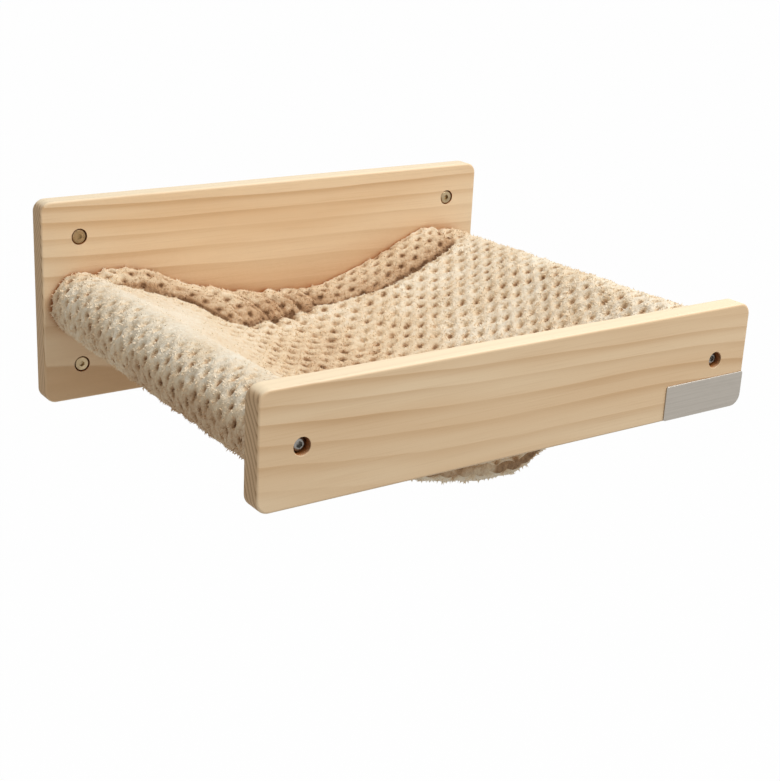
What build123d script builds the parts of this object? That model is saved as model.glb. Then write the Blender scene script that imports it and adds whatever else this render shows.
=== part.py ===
from build123d import *
import math
import os

# Wall-mounted cat hammock, in millimetres. X runs right as seen from the room, Y runs into the
# wall and Z runs up. The origin is the middle of the rear board's back face, on the wall.

# Boards
board_length = 400.0
board_thickness = 16.0
rear_board_height = 156.0
front_board_height = 77.0
board_corner_radius = 9.0
board_edge_round = 1.8

# Crossbars between the boards
bar_length = 306.0
bar_diameter = 30.0
bar_inset = 30.0
bar_end_chamfer = 1.0

# Bolts that hold each crossbar end, with washer and threaded insert
bolt_diameter = 6.0
bolt_length = 30.0
bolt_head_diameter = 10.5
bolt_head_height = 3.3
bolt_head_setback = 3.2
bolt_crown_diameter = 5.6
bolt_crown_bulge = 0.5
bolt_rim_height = 0.8
bolt_socket_width = 4.0
bolt_socket_depth = 2.1
bolt_tip_chamfer = 0.8
bolt_hole_clearance = 0.6
bolt_recess_diameter = 11.8
bolt_recess_lead = 0.2
washer_diameter = 11.0
washer_thickness = 1.2
insert_diameter = 10.0
insert_length = 15.0
insert_barb_count = 4
insert_barb_depth = 0.7
insert_barb_crest_share = 0.35
insert_fit_clearance = 0.05
thread_clearance = 0.1
pilot_spare_depth = 4.0

# Screws that hold the rear board to the wall
screw_inset_x = 30.0
screw_inset_z = 28.0
screw_thread_diameter = 5.0
screw_neck_diameter = 5.6
screw_reach = 38.0
screw_tip_length = 6.0
screw_tip_flat = 0.6
screw_head_diameter = 11.0
screw_head_height = 3.2
screw_head_round = 0.6
screw_head_setback = 0.5
screw_socket_width = 4.0
screw_socket_depth = 2.0
screw_recess_clearance = 0.7
screw_hole_clearance = 0.4

# Bare metal plate on the front board's lower right corner
plate_length = 75.0
plate_height = 25.5
plate_thickness = 1.0
plate_edge_margin = 0.5
plate_corner_radius = 1.5
plate_bevel = 0.3

# Plush sling, worn round both crossbars
sleeve_clearance = 0.3
sleeve_thickness = 9.2
sleeve_swell = 2.4
sleeve_droop = 1.5
sleeve_rise = 2.0
sling_end_gap = 0.4
bed_thickness = 15.0
bed_crest_angle = 26.0
bed_underside_angle = 38.0
bed_rear_sag = 38.0
bed_rear_slope = 30.0
bed_deepest_sag = 84.0
bed_deepest_share = 0.68
bed_front_sag = 72.0
bed_rear_roundness = 1.3
bed_roundness = 1.7
bed_roundness_share = 0.3
bed_arc_count = 16
belly_arc_count = 6

# Sling's front end, which is bunched up right of the middle
bunch_height = 13.0
bunch_from_x = 8.0
bunch_full_x = 48.0
bunch_fading_x = 85.0
bunch_end_x = 150.0
bunch_share = 0.8

# Rolled hem on the bed's rear end: (x, height) along its top and (x, distance from the board)
# along the crease at its foot
hem_top = (
    (-185, 19), (-158, 22), (-133, 22), (-113, 18), (-97, 10), (-79, 3), (-57, -3), (-29, -9),
    (0, -12), (42, -12), (72, -3), (102, 8), (122, 15), (143, 22), (161, 25), (185, 22),
)
hem_foot = (
    (-185, 22), (-129, 22), (-95, 27), (-70, 44), (-30, 44), (15, 36), (43, 40), (83, 47), (133, 45), (185, 40),
)
hem_crown_share = 0.22
hem_fullness = 1.7
hem_crease_depth = 3.5
hem_crease_width = 9.0
hem_side_blend = 8.0
sling_station_count = 50

# Places worked out from the sizes above
rear_board_face = -board_thickness
front_board_back = rear_board_face - bar_length
front_board_face = front_board_back - board_thickness
bar_x = board_length / 2 - bar_inset
screw_x = board_length / 2 - screw_inset_x
screw_z = rear_board_height / 2 - screw_inset_z
side_signs = {"left": -1, "right": 1}
bolt_hole_diameter = bolt_diameter + bolt_hole_clearance
bolt_recess_depth = bolt_head_setback + bolt_head_height + washer_thickness
bolt_shank_start = bolt_head_setback + bolt_head_height
insert_bore_diameter = insert_diameter + 2 * insert_fit_clearance
screw_hole_diameter = screw_neck_diameter + screw_hole_clearance
screw_recess_diameter = screw_head_diameter + 2 * screw_recess_clearance
screw_recess_depth = screw_head_setback + screw_head_height


def bore(x, z, y_from, y_to, diameter):
    """A round hole or pin along Y."""
    plane = Plane(origin=(x, y_from, z), z_dir=(0, 1 if y_to > y_from else -1, 0))
    return extrude(plane * Circle(diameter / 2), amount=abs(y_to - y_from))


def turned(points, x, z, y, direction):
    """A turned piece from (radius, distance along its axis) points, pointing along +Y or -Y."""
    outline = Polyline(*points, close=True)
    body = revolve(make_face(outline), axis=Axis.Y)
    return Pos(x, y, z) * Rot(0, 0, 0 if direction > 0 else 180) * body


def hex_socket(x, z, y, direction, width, depth):
    """A hexagonal key socket sunk from the face at y."""
    plane = Plane(origin=(x, y, z), z_dir=(0, direction, 0))
    corner_radius = width / math.sqrt(3)
    return extrude(plane * RegularPolygon(corner_radius, 6), amount=depth)


def board(height, y_back, y_front):
    """A pine board with rounded corners and softly rounded long edges."""
    plane = Plane(origin=(0, y_back, 0), x_dir=(1, 0, 0), z_dir=(0, -1, 0))
    outline = plane * RectangleRounded(board_length, height, board_corner_radius)
    slab = extrude(outline, amount=y_back - y_front)
    rims = slab.faces().sort_by(Axis.Y)[0].edges() + slab.faces().sort_by(Axis.Y)[-1].edges()
    return fillet(rims, board_edge_round)


def bolt_opening(x, y_face, direction):
    """The through hole and stepped recess for one crossbar bolt, from the board's outer face."""
    y_far = y_face + direction * board_thickness
    y_seat = y_face + direction * bolt_recess_depth
    hole = bore(x, 0, y_face, y_far, bolt_hole_diameter)
    recess = bore(x, 0, y_face, y_seat, bolt_recess_diameter)
    radius = bolt_recess_diameter / 2
    lead = bolt_recess_lead
    mouth = turned([(0, 0), (radius + lead, 0), (radius, lead), (0, lead)], x, 0, y_face, direction)
    return [hole, recess, mouth]


def screw_places():
    """Name, x and z of each wall screw."""
    rows = {"upper": 1, "lower": -1}
    return [
        (f"{row}_{side}", side_sign * screw_x, row_sign * screw_z)
        for row, row_sign in rows.items()
        for side, side_sign in side_signs.items()
    ]


def rear_board():
    """The board on the wall, with bolt recesses at the back and screw recesses at the front."""
    solid = board(rear_board_height, 0, rear_board_face)
    for side_sign in side_signs.values():
        solid -= bolt_opening(side_sign * bar_x, 0, -1)
    for _, x, z in screw_places():
        solid -= bore(x, z, rear_board_face, 0, screw_hole_diameter)
        solid -= bore(x, z, rear_board_face, rear_board_face + screw_recess_depth, screw_recess_diameter)
    return solid


def front_board():
    """The lower board towards the room, with two bolt recesses in its front face."""
    solid = board(front_board_height, front_board_back, front_board_face)
    for side_sign in side_signs.values():
        solid -= bolt_opening(side_sign * bar_x, front_board_face, 1)
    return solid


def crossbar(x):
    """A round bar with a blind bore in each end for its threaded insert and the bolt's tip."""
    bar = bore(x, 0, rear_board_face, front_board_back, bar_diameter)
    ends = bar.edges().filter_by(GeomType.CIRCLE)
    bar = chamfer(ends, bar_end_chamfer)
    tip_depth = bolt_shank_start + bolt_length - board_thickness + pilot_spare_depth
    for y_end, direction in ((rear_board_face, -1), (front_board_back, 1)):
        bar -= bore(x, 0, y_end, y_end + direction * insert_length, insert_bore_diameter)
        bar -= bore(x, 0, y_end, y_end + direction * tip_depth, bolt_diameter + 2 * thread_clearance)
    return bar


def threaded_insert(x, y_end, direction):
    """A barbed brass insert, flush with the crossbar's end."""
    bore_radius = bolt_diameter / 2 + thread_clearance
    outer = insert_diameter / 2
    root = outer - insert_barb_depth
    pitch = insert_length / insert_barb_count
    points = [(bore_radius, 0)]
    for barb in range(insert_barb_count):
        points.append((outer, barb * pitch))
        points.append((outer, (barb + insert_barb_crest_share) * pitch))
        points.append((root, (barb + 1) * pitch))
    points.append((bore_radius, insert_length))
    return turned(points, x, 0, y_end, direction)


def crossbar_bolt(x, y_face, direction):
    """A button-head bolt with a hexagonal socket, its head sunk below the board's face."""
    flat = bolt_crown_diameter / 2
    rim = bolt_head_diameter / 2
    shank = bolt_diameter / 2
    tip = bolt_head_height + bolt_length
    crown = SagittaArc((flat, 0), (rim, bolt_head_height - bolt_rim_height), -bolt_crown_bulge)
    rest = Polyline(
        (rim, bolt_head_height - bolt_rim_height),
        (rim, bolt_head_height),
        (shank, bolt_head_height),
        (shank, tip - bolt_tip_chamfer),
        (shank - bolt_tip_chamfer, tip),
        (0, tip),
        (0, 0),
        (flat, 0),
    )
    body = revolve(make_face(crown.edges() + rest.edges()), axis=Axis.Y)
    y_crown = y_face + direction * bolt_head_setback
    solid = Pos(x, y_crown, 0) * Rot(0, 0, 0 if direction > 0 else 180) * body
    return solid - hex_socket(x, 0, y_crown, direction, bolt_socket_width, bolt_socket_depth)


def washer(x, y_face, direction):
    """A flat washer on the floor of a bolt recess."""
    y_top = y_face + direction * bolt_shank_start
    y_seat = y_top + direction * washer_thickness
    disc = bore(x, 0, y_top, y_seat, washer_diameter)
    return disc - bore(x, 0, y_top, y_seat, bolt_hole_diameter)


def wall_screw(x, z):
    """A flat-head screw through the rear board, whose threaded part stands out behind it."""
    head = screw_head_diameter / 2
    neck = screw_neck_diameter / 2
    thread = screw_thread_diameter / 2
    y_head = rear_board_face + screw_head_setback
    y_wall = -y_head
    points = [
        (0, 0),
        (head - screw_head_round, 0),
        (head, screw_head_round),
        (head, screw_head_height),
        (neck, screw_head_height),
        (neck, y_wall),
        (thread, y_wall),
        (thread, y_wall + screw_reach - screw_tip_length),
        (screw_tip_flat, y_wall + screw_reach),
        (0, y_wall + screw_reach),
    ]
    solid = turned(points, x, z, y_head, 1)
    return solid - hex_socket(x, z, y_head, 1, screw_socket_width, screw_socket_depth)


def plate():
    """A bare plate whose lower right corner follows the board's rounded corner."""
    x_right = board_length / 2 - plate_edge_margin
    z_low = -front_board_height / 2 + plate_edge_margin
    middle = (x_right - plate_length / 2, front_board_face, z_low + plate_height / 2)
    plane = Plane(origin=middle, x_dir=(1, 0, 0), z_dir=(0, -1, 0))
    outline = Rectangle(plate_length, plate_height)
    corners = outline.vertices().sort_by(lambda corner: corner.X - corner.Y)
    outline = fillet(corners[:-1], plate_corner_radius)
    board_corner = outline.vertices().sort_by(lambda corner: corner.X - corner.Y)[-1]
    outline = fillet(board_corner, board_corner_radius - plate_edge_margin)
    blank = extrude(plane * outline, amount=plate_thickness)
    return chamfer(blank.faces().sort_by(Axis.Y)[0].edges(), plate_bevel)


def sleeve_radius(share):
    """Outer radius of a sleeve, from the rear board (0) to the front board (1)."""
    return bar_diameter / 2 + sleeve_clearance + sleeve_thickness + sleeve_swell * share**1.5


def sleeve_height(share):
    """Height of a sleeve's middle above the crossbar's axis."""
    return -sleeve_droop + (sleeve_droop + sleeve_rise) * share


def ease(low, high, value):
    """Rises smoothly from 0 at low to 1 at high."""
    share = min(1.0, max(0.0, (value - low) / (high - low)))
    return share**2 * (3 - 2 * share)


def between(start, end, slope_start, slope_end, share):
    """Smooth height between two ends, with a slope per whole span at each."""
    falling = 2 * share**3 - 3 * share**2 + 1
    leaving = share**3 - 2 * share**2 + share
    arriving = share**3 - share**2
    return start * falling + end * (1 - falling) + slope_start * leaving + slope_end * arriving


def smooth_line(knots, place):
    """Height at a place on a smooth line through (place, height) knots."""
    last = len(knots) - 1
    place = min(knots[last][0], max(knots[0][0], place))
    step = max(index for index in range(last) if knots[index][0] <= place)

    def slope(index):
        before, after = knots[max(0, index - 1)], knots[min(last, index + 1)]
        return (after[1] - before[1]) / (after[0] - before[0])

    (start, low), (end, high) = knots[step], knots[step + 1]
    span = end - start
    return between(low, high, slope(step) * span, slope(step + 1) * span, (place - start) / span)


def bed_sag(share):
    """Depth of the bed's middle under its crests, deepest a little in front of the middle."""
    deep = bed_deepest_share
    if share < deep:
        return between(bed_rear_sag, bed_deepest_sag, bed_rear_slope * deep, 0, share / deep)
    return bed_deepest_sag - (bed_deepest_sag - bed_front_sag) * ((share - deep) / (1 - deep)) ** 2


def crest_of_bed(share):
    """Half width and height of the line where the bed leaves a sleeve's crown."""
    radius = sleeve_radius(share)
    angle = math.radians(bed_crest_angle)
    return bar_x - radius * math.sin(angle), sleeve_height(share) + radius * math.cos(angle)


def bunch(x, share):
    """How far the sling's front end is bunched up at a place across the bed."""
    across = ease(bunch_from_x, bunch_full_x, x) * (1 - ease(bunch_fading_x, bunch_end_x, x))
    return bunch_height * across * ease(bunch_share, 1, share)


def hung_height(x, share):
    """Height of the bed's upper face as it hangs, with no hem."""
    half_width, crest_z = crest_of_bed(share)
    across = min(1.0, abs(x) / half_width)
    fuller = min(1.0, share / bed_roundness_share)
    roundness = bed_rear_roundness + (bed_roundness - bed_rear_roundness) * fuller
    return crest_z - bed_sag(share) * (1 - across**roundness) + bunch(x, share)


def bed_height(x, share):
    """Height of the bed's upper face, with its rolled rear hem and the crease at the hem's foot."""
    depth = share * bar_length
    half_width, _ = crest_of_bed(share)
    foot_depth = smooth_line(hem_foot, x)
    hung = hung_height(x, share)
    if depth < foot_depth:
        foot = hung_height(x, foot_depth / bar_length) - hem_crease_depth
        fall = max(0.0, (depth / foot_depth - hem_crown_share) / (1 - hem_crown_share))
        crown = (1 - fall**hem_fullness) ** (1 / hem_fullness)
        height = foot + (smooth_line(hem_top, x) - foot) * crown
    else:
        height = hung - hem_crease_depth * math.exp(-(depth - foot_depth) / hem_crease_width)
    inside = ease(0, hem_side_blend, half_width - abs(x))
    return hung + (height - hung) * inside


def underside_height(x, share):
    """Height of the bed's lower face, which hangs from the undersides of the sleeves."""
    radius = sleeve_radius(share)
    angle = math.radians(bed_underside_angle)
    half_width = bar_x - radius * math.sin(angle)
    rim_z = sleeve_height(share) - radius * math.cos(angle)
    across = min(1.0, abs(x) / half_width)
    _, crest_z = crest_of_bed(share)
    lowest_z = crest_z - bed_sag(share) - bed_thickness
    return rim_z + (lowest_z - rim_z) * (1 - across**bed_roundness) + bunch(x, share)


def sling_section(share):
    """The closed outline of the sling on one plane across the crossbars."""
    y = rear_board_face - sling_end_gap - share * (bar_length - 2 * sling_end_gap)
    radius = sleeve_radius(share)
    middle_z = sleeve_height(share)
    crest = math.radians(90 - bed_crest_angle)
    under = math.radians(-90 + bed_underside_angle)

    def rim(side, angle):
        return (side * (bar_x - radius * math.cos(angle)), y, middle_z + radius * math.sin(angle))

    def sleeve_arcs(side, angle_from, angle_to):
        turn = (angle_to - angle_from) / 2
        arcs = []
        for half in range(2):
            start = angle_from + half * turn
            arcs.append(ThreePointArc(rim(side, start), rim(side, start + turn / 2), rim(side, start + turn)))
        return arcs

    def cloth_arcs(start, end, count, height):
        xs = [start[0] + (end[0] - start[0]) * step / (2 * count) for step in range(2 * count + 1)]
        points = [(x, y, height(x, share)) for x in xs]
        points[0], points[-1] = start, end
        return [ThreePointArc(*points[2 * arc:2 * arc + 3]) for arc in range(count)]

    far_turn = 2 * math.pi + under
    edges = sleeve_arcs(-1, far_turn, crest)
    edges += cloth_arcs(rim(-1, crest), rim(1, crest), bed_arc_count, bed_height)
    edges += sleeve_arcs(1, crest, far_turn)
    edges += cloth_arcs(rim(1, far_turn), rim(-1, far_turn), belly_arc_count, underside_height)
    return Face(Wire(edges))


def plush_sling():
    """The sagging bed with a sleeve on each side, lofted from the rear board to the front one."""
    last = sling_station_count - 1
    sections = [sling_section(station / last) for station in range(sling_station_count)]
    sling = loft(sections)
    for side_sign in side_signs.values():
        sling -= bore(side_sign * bar_x, 0, rear_board_face, front_board_back,
                      bar_diameter + 2 * sleeve_clearance)
    return sling


def all_pieces():
    """Each piece of the hammock under its own name."""
    pieces = {
        "rear_board": rear_board(),
        "front_board": front_board(),
        "plate": plate(),
        "plush_sling": plush_sling(),
    }
    faces = {"rear": (0, -1, rear_board_face), "front": (front_board_face, 1, front_board_back)}
    for side, side_sign in side_signs.items():
        x = side_sign * bar_x
        pieces[f"{side}_crossbar"] = crossbar(x)
        for end, (y_face, direction, y_bar_end) in faces.items():
            pieces[f"{end}_{side}_bolt"] = crossbar_bolt(x, y_face, direction)
            pieces[f"{end}_{side}_washer"] = washer(x, y_face, direction)
            pieces[f"{end}_{side}_insert"] = threaded_insert(x, y_bar_end, direction)
    for place, x, z in screw_places():
        pieces[f"{place}_wall_screw"] = wall_screw(x, z)
    return pieces


os.makedirs("parts", exist_ok=True)
for name, piece in all_pieces().items():
    export_step(piece, f"parts/{name}.step")
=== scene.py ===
import logging
import math
from dataclasses import dataclass, replace
from enum import Enum
from typing import Any, Sequence, Union

import bmesh
import bpy
import numpy as np
from mathutils import Matrix, Vector, geometry, noise


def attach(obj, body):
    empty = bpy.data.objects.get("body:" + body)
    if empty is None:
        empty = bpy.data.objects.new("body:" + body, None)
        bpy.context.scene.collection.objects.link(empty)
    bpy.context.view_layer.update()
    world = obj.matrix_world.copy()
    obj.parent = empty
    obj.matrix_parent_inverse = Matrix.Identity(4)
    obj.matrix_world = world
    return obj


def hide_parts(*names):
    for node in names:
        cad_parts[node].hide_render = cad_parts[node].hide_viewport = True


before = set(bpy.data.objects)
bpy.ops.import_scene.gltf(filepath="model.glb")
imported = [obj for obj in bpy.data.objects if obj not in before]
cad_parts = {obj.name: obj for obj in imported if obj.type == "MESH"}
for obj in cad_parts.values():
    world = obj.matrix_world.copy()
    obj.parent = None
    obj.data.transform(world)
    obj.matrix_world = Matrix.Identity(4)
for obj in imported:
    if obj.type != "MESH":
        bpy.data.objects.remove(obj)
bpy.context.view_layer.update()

log = logging.getLogger("cat_hammock")

MM = 0.001
Colour = tuple[float, float, float, float]
Value = Union["Shade", float]
Points = Sequence[tuple[float, ...]]


def tone(red: int, green: int, blue: int) -> Colour:
    """Turns a colour as seen on a screen into the light values that a shader takes.

    Args:
        red: Red from 0 to 255.
        green: Green from 0 to 255.
        blue: Blue from 0 to 255.

    Returns:
        The linear colour with full opacity.
    """
    parts = [c / 255 for c in (red, green, blue)]
    linear = [c / 12.92 if c <= 0.04045 else ((c + 0.055) / 1.055) ** 2.4 for c in parts]
    return (linear[0], linear[1], linear[2], 1.0)


class Shade:
    """A number, vector or colour in a material that can stand in a Python expression."""

    def __init__(self, painter: "Painter", socket: bpy.types.NodeSocket) -> None:
        """Wraps one output socket of the painter's tree."""
        self.painter = painter
        self.socket = socket

    def _math(self, operation: str, *values: Value) -> "Shade":
        """Adds one Math node on values, given in the order of its sockets."""
        return self.painter.node("ShaderNodeMath", {"operation": operation}, dict(enumerate(values)))

    def __add__(self, other: Value) -> "Shade":
        """self + other."""
        return self._math("ADD", self, other)

    def __radd__(self, other: float) -> "Shade":
        """other + self."""
        return self._math("ADD", other, self)

    def __sub__(self, other: Value) -> "Shade":
        """self - other."""
        return self._math("SUBTRACT", self, other)

    def __rsub__(self, other: float) -> "Shade":
        """other - self."""
        return self._math("SUBTRACT", other, self)

    def __mul__(self, other: Value) -> "Shade":
        """self * other."""
        return self._math("MULTIPLY", self, other)

    def __rmul__(self, other: float) -> "Shade":
        """other * self."""
        return self._math("MULTIPLY", other, self)

    def __truediv__(self, other: Value) -> "Shade":
        """self / other."""
        return self._math("DIVIDE", self, other)

    def __rtruediv__(self, other: float) -> "Shade":
        """other / self."""
        return self._math("DIVIDE", other, self)

    def __pow__(self, other: Value) -> "Shade":
        """self ** other."""
        return self._math("POWER", self, other)

    def __neg__(self) -> "Shade":
        """-self."""
        return self._math("MULTIPLY", self, -1.0)

    def __abs__(self) -> "Shade":
        """abs(self)."""
        return self._math("ABSOLUTE", self)

    def root(self) -> "Shade":
        """The square root."""
        return self._math("SQRT", self)

    def floor(self) -> "Shade":
        """The whole number below."""
        return self._math("FLOOR", self)

    def fract(self) -> "Shade":
        """What is left above the whole number below."""
        return self._math("FRACT", self)

    def exp(self) -> "Shade":
        """The exponential."""
        return self._math("EXPONENT", self)

    def least(self, other: Value) -> "Shade":
        """The smaller of the two."""
        return self._math("MINIMUM", self, other)

    def most(self, other: Value) -> "Shade":
        """The larger of the two."""
        return self._math("MAXIMUM", self, other)

    def ease(self, low: float, high: float) -> "Shade":
        """Rises smoothly from 0 at low to 1 at high."""
        return self.painter.node(
            "ShaderNodeMapRange",
            {"interpolation_type": "SMOOTHSTEP"},
            {"Value": self, "From Min": low, "From Max": high},
        )


class Painter:
    """Makes the nodes of one material and joins them."""

    def __init__(self, name: str) -> None:
        """Starts an empty material of that name."""
        self.material = bpy.data.materials.new(name)
        self.material.use_nodes = True
        self.tree = self.material.node_tree
        self.tree.nodes.clear()

    def node(
        self,
        kind: str,
        settings: dict[str, Any] | None = None,
        sockets: dict[Any, Any] | None = None,
        out: Union[int, str] = 0,
    ) -> Shade:
        """Adds a node.

        Args:
            kind: The node's type.
            settings: Its properties, set before the sockets. "stops" holds a ramp's stops.
            sockets: Values or Shades by socket name or number.
            out: The output that is wanted.

        Returns:
            That output.
        """
        made = self.tree.nodes.new(kind)
        for name, value in (settings or {}).items():
            if name == "stops":
                self._stops(made.color_ramp, value)
            else:
                setattr(made, name, value)
        for key, value in (sockets or {}).items():
            if isinstance(value, Shade):
                self.tree.links.new(value.socket, made.inputs[key])
            else:
                made.inputs[key].default_value = value
        return Shade(self, made.outputs[out])

    @staticmethod
    def _stops(ramp: bpy.types.ColorRamp, stops: Sequence[tuple[float, Colour]]) -> None:
        """Sets a ramp's stops.

        Args:
            ramp: The ramp of a Color Ramp node.
            stops: Places from 0 to 1 and their colours, in order.
        """
        while len(ramp.elements) < len(stops):
            ramp.elements.new(1.0)
        for element, (place, colour) in zip(ramp.elements, stops):
            element.position = place
            element.color = colour

    def ramp(self, factor: Shade, stops: Sequence[tuple[float, Colour]]) -> Shade:
        """The colour at a factor on a ramp of places from 0 to 1 and their colours."""
        return self.node("ShaderNodeValToRGB", {"stops": stops}, {"Fac": factor}, "Color")

    def mix(self, factor: Value, first: Any, second: Any, blend: str = "MIX") -> Shade:
        """Mixes two colours, from the first at a factor of 0 to the second at 1."""
        settings = {"data_type": "RGBA", "blend_type": blend}
        return self.node("ShaderNodeMix", settings, {0: factor, 6: first, 7: second}, 2)

    def vector(self, operation: str, first: Any, second: Any) -> Shade:
        """Adds a Vector Math node on two vectors."""
        return self.node("ShaderNodeVectorMath", {"operation": operation}, {0: first, 1: second})

    def split(self, vector: Shade) -> tuple[Shade, Shade, Shade]:
        """The three parts of a vector."""
        parts = self.node("ShaderNodeSeparateXYZ", None, {0: vector}).socket.node.outputs
        return Shade(self, parts[0]), Shade(self, parts[1]), Shade(self, parts[2])

    def grain(
        self,
        place: Shade,
        cells: float | tuple[float, float, float],
        seed: float = 0.0,
        detail: float = 2.0,
        roughness: float = 0.5,
    ) -> Shade:
        """Smooth noise from 0 to 1 over a place.

        Args:
            place: Coordinates in metres.
            cells: Cells per metre, the same along each axis or one number for each.
            seed: Shifts the pattern.
            detail: Layers of finer noise.
            roughness: How strong the finer layers are.

        Returns:
            The noise value.
        """
        stretch = cells if isinstance(cells, tuple) else (cells, cells, cells)
        scaled = self.vector("MULTIPLY", place, stretch)
        moved = self.vector("ADD", scaled, (seed, 1.7 * seed, 2.3 * seed))
        sockets = {"Vector": moved, "Scale": 1.0, "Detail": detail, "Roughness": roughness}
        return self.node("ShaderNodeTexNoise", None, sockets, "Fac")

    def bump(self, height: Shade, distance: float, strength: float = 1.0) -> Shade:
        """A normal raised by a height, of which 1 stands for that distance in metres."""
        sockets = {"Strength": strength, "Distance": distance, "Height": height}
        return self.node("ShaderNodeBump", None, sockets)

    def finish(self, **sockets: Any) -> bpy.types.Material:
        """Ends the material in one Principled BSDF.

        Args:
            sockets: Values or Shades, with underscores for the spaces of a socket's name.

        Returns:
            The finished material.
        """
        named = {key.replace("_", " "): value for key, value in sockets.items()}
        surface = self.node("ShaderNodeBsdfPrincipled", None, named)
        self.node_output(surface)
        return self.material

    def node_output(self, surface: Shade) -> None:
        """Joins a surface to the material's output."""
        output = self.tree.nodes.new("ShaderNodeOutputMaterial")
        self.tree.links.new(surface.socket, output.inputs["Surface"])


@dataclass(frozen=True)
class PineFinish:
    """Planed pine, with growth rings round the middle of the log it was cut from; a painted highlight pales
    its faces that look up or down, and painted shade darkens its corners.
    """

    name: str
    pith_y: float
    pith_z: float
    lean_y: float = 0.02
    lean_z: float = 0.02
    ring_pitch: float = 0.0055
    sway: float = 0.003
    contrast: float = 0.62
    seed: float = 0.0
    early: Colour = tone(233, 206, 169)
    warm: Colour = tone(221, 186, 144)
    late: Colour = tone(190, 147, 98)
    # Pale tone of the painted highlight on faces that look up or down.
    painted_highlight_tone: Colour = tone(246, 229, 197)
    fleck: Colour = tone(150, 108, 64)
    end_grain: Colour = tone(204, 170, 129)
    end_late: Colour = tone(136, 98, 60)
    # Brown tint of the painted shade in corners and under the sleeves.
    corner: Colour = tone(190, 130, 72)

    def material(self) -> bpy.types.Material:
        """Paints the wood.

        Returns:
            The material.
        """
        paint = Painter(self.name)
        place = paint.node("ShaderNodeTexCoord", None, None, "Object")
        x, y, z = paint.split(place)
        bend_y = (paint.grain(place, (3.0, 5.0, 5.0), self.seed, 1.0) - 0.5) * (2 * self.sway)
        bend_z = (paint.grain(place, (4.0, 9.0, 9.0), self.seed + 9.0, 2.0) - 0.5) * (2 * self.sway)
        from_y = y - (x * self.lean_y + self.pith_y) + bend_y
        from_z = z - (x * self.lean_z + self.pith_z) + bend_z
        rings = (from_y * from_y + from_z * from_z).root() / self.ring_pitch
        rings = rings + paint.grain(place, (7.0, 60.0, 60.0), self.seed + 3.0, 2.0) * 0.3
        year = rings.floor()
        phase = rings.fract()
        vigour = paint.node("ShaderNodeTexWhiteNoise", {"noise_dimensions": "1D"}, {"W": year + self.seed})
        dark = (phase.ease(0.30, 0.93) ** 1.6) * (1.0 - phase.ease(0.94, 1.0))
        faded = paint.grain(place, (5.0, 20.0, 20.0), self.seed + 11.0, 1.0).ease(0.30, 0.60)
        dark = dark * (0.15 + vigour * 0.85) * (0.45 + faded * 0.55)
        fibre = paint.grain(place, (14.0, 900.0, 900.0), self.seed + 5.0, 3.0, 0.6)
        hair = paint.grain(place, (60.0, 2600.0, 2600.0), self.seed + 6.0, 2.0)
        cloud = paint.grain(place, (3.0, 30.0, 30.0), self.seed + 7.0, 3.0)
        colour = paint.mix(cloud.ease(0.35, 0.70) * 0.75, self.early, self.warm)
        colour = paint.mix(dark * self.contrast, colour, self.late)
        colour = paint.mix(fibre.ease(0.48, 0.80) * 0.20, colour, self.late)
        colour = paint.mix(hair.ease(0.60, 0.85) * 0.10, colour, self.fleck)
        facing = paint.node("ShaderNodeTexCoord", None, None, "Normal")
        out_x, out_y, out_z = paint.split(facing)
        # Painted highlight: faces that look up or down are mixed towards a pale tone, for the bright top
        # edges.
        narrow = abs(out_z).ease(0.45, 0.95)
        colour = paint.mix(narrow * 0.66, colour, self.painted_highlight_tone)
        ends = abs(out_x).ease(0.55, 0.90)
        pores = paint.grain(place, (500.0, 1500.0, 1500.0), self.seed + 8.0, 2.0)
        crowded = (rings * 1.6).fract()
        bands = crowded.ease(0.35, 0.90) * (1.0 - crowded.ease(0.92, 1.0))
        cut = (bands * 0.75 + pores.ease(0.50, 0.75) * 0.20).least(1.0)
        cut = paint.mix(cut, self.end_grain, self.end_late)
        colour = paint.mix(ends * 0.85, colour, cut)
        # Painted shade: where ambient occlusion finds the wood shut in, in corners and under the sleeves,
        # the colour is multiplied towards the corner tint.
        open_air = paint.node("ShaderNodeAmbientOcclusion", {"samples": 6}, {"Distance": 0.10}, "AO")
        painted_corner_shade = 1.0 - open_air.ease(0.25, 0.70)
        colour = paint.mix(painted_corner_shade, colour, self.corner, "MULTIPLY")
        rough = 0.46 + fibre * 0.14 + ends * 0.18 - dark * 0.07
        relief = fibre * 0.55 + hair * 0.25 + dark * 0.5 + pores * ends * 0.6
        return paint.finish(
            Base_Color=colour,
            Roughness=rough,
            Normal=paint.bump(relief, 0.00022, 0.55),
        )


@dataclass(frozen=True)
class MetalFinish:
    """Plated or brushed metal with fine marks, and dirt where hands and tools reach."""

    name: str
    colour: Colour
    dull: Colour
    roughness: float
    marks: tuple[float, float, float]
    mark_depth: float = 0.00003
    stain: float = 0.5
    seed: float = 0.0

    def material(self) -> bpy.types.Material:
        """Paints the metal.

        Returns:
            The material.
        """
        paint = Painter(self.name)
        place = paint.node("ShaderNodeTexCoord", None, None, "Object")
        lines = paint.grain(place, self.marks, self.seed, 3.0, 0.65)
        smear = paint.grain(place, 140.0, self.seed + 4.0, 3.0)
        worn = smear.ease(0.40, 0.75) * self.stain + lines.ease(0.40, 0.75) * 0.35
        colour = paint.mix(worn, self.colour, self.dull)
        rough = self.roughness + lines * 0.16 + smear * (0.2 * self.stain) - 0.08
        return paint.finish(
            Base_Color=colour,
            Metallic=1.0,
            Roughness=rough,
            Normal=paint.bump(lines, self.mark_depth, 0.6),
        )


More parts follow.
